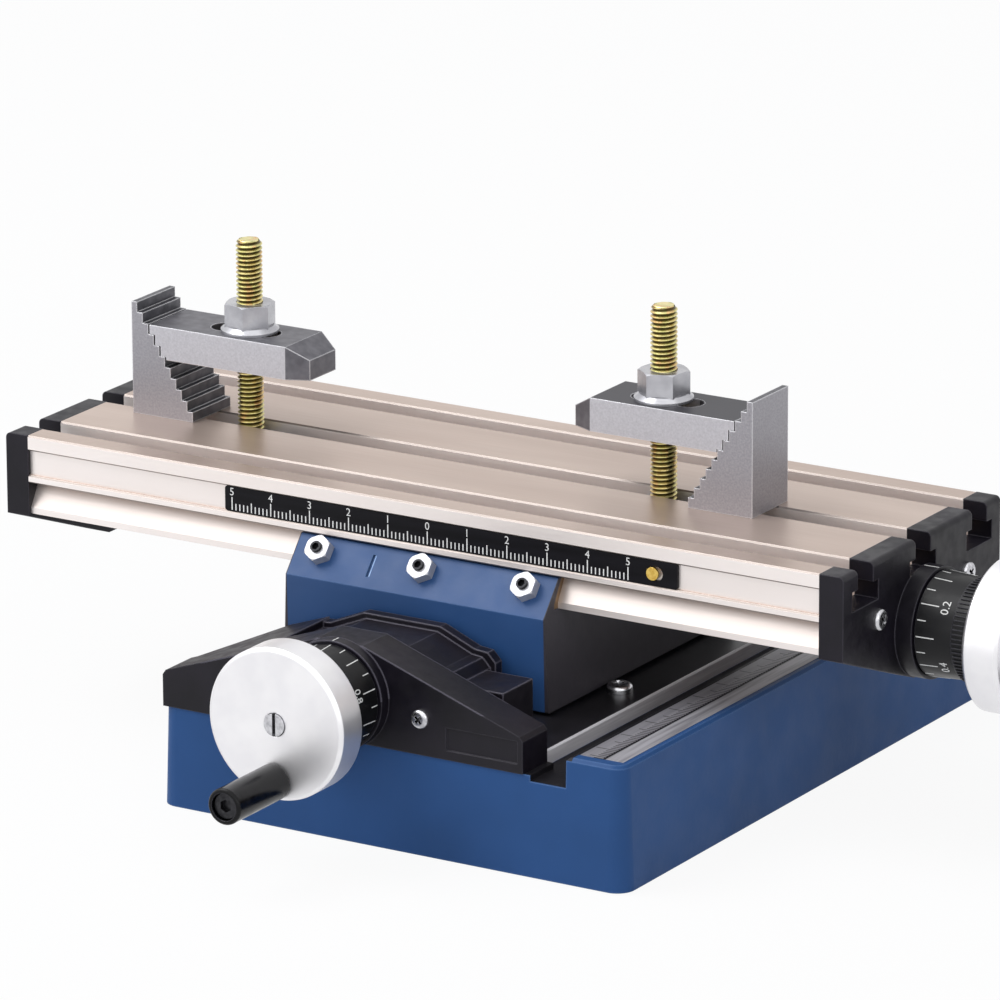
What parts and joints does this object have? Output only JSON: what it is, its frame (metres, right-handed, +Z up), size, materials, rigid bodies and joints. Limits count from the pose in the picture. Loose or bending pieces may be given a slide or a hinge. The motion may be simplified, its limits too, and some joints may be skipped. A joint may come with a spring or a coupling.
{
  "type": "cross slide table",
  "caption": "two-axis cross slide with a T-slot table, handwheels with graduated dials, a saddle on a dovetail way, and step-block clamps standing in the middle slot",
  "frame": {"origin": "on the bottom of the base casting, under the crossing of the two slides", "axes": "+X along the table to the right handwheel, +Y away from the operator, +Z up"},
  "size_m": [0.2597, 0.2036, 0.1069],
  "materials": {
    "painted_blue": "satin enamel",
    "black_plate": "black finish with machined sides",
    "black_plastic": "satin moulded",
    "bright_steel": "zinc plated",
    "satin_aluminium": "turned satin",
    "champagne_aluminium": "anodised champagne",
    "clamp_steel": "ground tool steel",
    "yellow_zinc": "yellow passivated zinc",
    "bronze": "sintered bronze",
    "black_anodised": "black anodised",
    "brass": "polished",
    "screw_steel": "rolled thread, oiled",
    "scale_strip": "etched scale"
  },
  "bodies": {
    "base": {"base_casting": "painted_blue", "rim_scale": "scale_strip", "way_plate": "black_plate", "way_plate_screws": "bright_steel", "front_cover": "black_plastic", "front_cover_screws": "bright_steel", "y_bush": "bronze"},
    "saddle": {"saddle_casting": "painted_blue", "x_gib": "bronze", "x_gib_screws": "screw_steel", "x_gib_nuts": "bright_steel", "y_gib": "bronze", "y_gib_screws": "screw_steel", "y_gib_nuts": "bright_steel", "x_nut": "bronze", "y_nut": "bronze"},
    "table": {"table_top": "champagne_aluminium", "left_end_cap": "black_plastic", "right_end_cap": "black_plastic", "end_cap_screws": "bright_steel", "x_bush_left": "bronze", "x_bush_right": "bronze"},
    "ruler": {"scale_bar": "black_anodised", "scale_screw": "brass"},
    "x_screw": {"x_lead_screw": "screw_steel", "x_handwheel": "satin_aluminium", "x_wheel_screw": "bright_steel", "x_handle_pin": "screw_steel"},
    "x_dial_ring": {"x_dial": "black_anodised"},
    "x_crank_grip": {"x_grip": "black_plastic"},
    "y_screw": {"y_lead_screw": "screw_steel", "y_handwheel": "satin_aluminium", "y_wheel_screw": "bright_steel", "y_handle_pin": "screw_steel"},
    "y_dial_ring": {"y_dial": "black_anodised"},
    "y_crank_grip": {"y_grip": "black_plastic"},
    "left_clamp": {"left_stud": "yellow_zinc", "left_t_nut": "screw_steel"},
    "left_block": {"left_step_block": "clamp_steel"},
    "left_clamp_strap": {"left_strap": "clamp_steel"},
    "left_nut": {"left_flange_nut": "bright_steel"},
    "right_clamp": {"right_stud": "yellow_zinc", "right_t_nut": "screw_steel"},
    "right_block": {"right_step_block": "clamp_steel"},
    "right_clamp_strap": {"right_strap": "clamp_steel"},
    "right_nut": {"right_flange_nut": "bright_steel"}
  },
  "joints": [
    {"name": "saddle_slide", "type": "slide", "parent": "base", "child": "saddle", "axis": [0, 1, 0], "range_m": [-0.001, 0.048]},
    {"name": "table_slide", "type": "slide", "parent": "saddle", "child": "table", "axis": [1, 0, 0], "range_m": [-0.05, 0.05]},
    {"name": "ruler_slide", "type": "slide", "parent": "table", "child": "ruler", "axis": [1, 0, 0], "range_m": [-0.04, 0.03]},
    {"name": "y_screw_turn", "type": "hinge", "parent": "base", "child": "y_screw", "pos_m": [0, -0.07, 0.0329], "axis": [0, 1, 0], "range_deg": [-361, 17281]},
    {"name": "x_screw_turn", "type": "hinge", "parent": "table", "child": "x_screw", "pos_m": [0.1, 0, 0.0466], "axis": [-1, 0, 0], "range_deg": [-18001, 18001]},
    {"name": "y_dial_turn", "type": "hinge", "parent": "y_screw", "child": "y_dial_ring", "pos_m": [0, -0.08, 0.0329], "axis": [0, 1, 0], "continuous": true},
    {"name": "x_dial_turn", "type": "hinge", "parent": "x_screw", "child": "x_dial_ring", "pos_m": [0.11, 0, 0.0466], "axis": [-1, 0, 0], "continuous": true},
    {"name": "y_grip_turn", "type": "hinge", "parent": "y_screw", "child": "y_crank_grip", "pos_m": [0, -0.1, 0.0205], "axis": [0, 1, 0], "continuous": true},
    {"name": "x_grip_turn", "type": "hinge", "parent": "x_screw", "child": "x_crank_grip", "pos_m": [0.135, 0, 0.0342], "axis": [-1, 0, 0], "continuous": true},
    {"name": "left_clamp_slide", "type": "slide", "parent": "table", "child": "left_clamp", "axis": [1, 0, 0], "range_m": [-0.012, 0.03]},
    {"name": "left_block_slide", "type": "slide", "parent": "left_clamp", "child": "left_block", "axis": [1, 0, 0], "range_m": [-0.006, 0]},
    {"name": "left_strap_lift", "type": "slide", "parent": "left_clamp", "child": "left_clamp_strap", "axis": [0, 0, 1], "range_m": [0, 0.012]},
    {"name": "left_nut_turn", "type": "hinge", "parent": "left_clamp_strap", "child": "left_nut", "pos_m": [-0.0673, 0, 0.088], "axis": [0, 0, 1], "range_deg": [-1, 4321]},
    {"name": "right_clamp_slide", "type": "slide", "parent": "table", "child": "right_clamp", "axis": [1, 0, 0], "range_m": [-0.03, 0.03]},
    {"name": "right_block_slide", "type": "slide", "parent": "right_clamp", "child": "right_block", "axis": [1, 0, 0], "range_m": [0, 0.006]},
    {"name": "right_strap_lift", "type": "slide", "parent": "right_clamp", "child": "right_clamp_strap", "axis": [0, 0, 1], "range_m": [0, 0.012]},
    {"name": "right_nut_turn", "type": "hinge", "parent": "right_clamp_strap", "child": "right_nut", "pos_m": [0.0386, 0, 0.088], "axis": [0, 0, 1], "range_deg": [-1, 4321]}
  ],
  "couplings": [
    {"joint": "y_screw_turn", "follows": "saddle_slide", "rad_per_m": 6283.2},
    {"joint": "x_screw_turn", "follows": "table_slide", "rad_per_m": -6283.2},
    {"joint": "left_nut_turn", "follows": "left_strap_lift", "rad_per_m": 6283.2},
    {"joint": "right_nut_turn", "follows": "right_strap_lift", "rad_per_m": 6283.2}
  ]
}
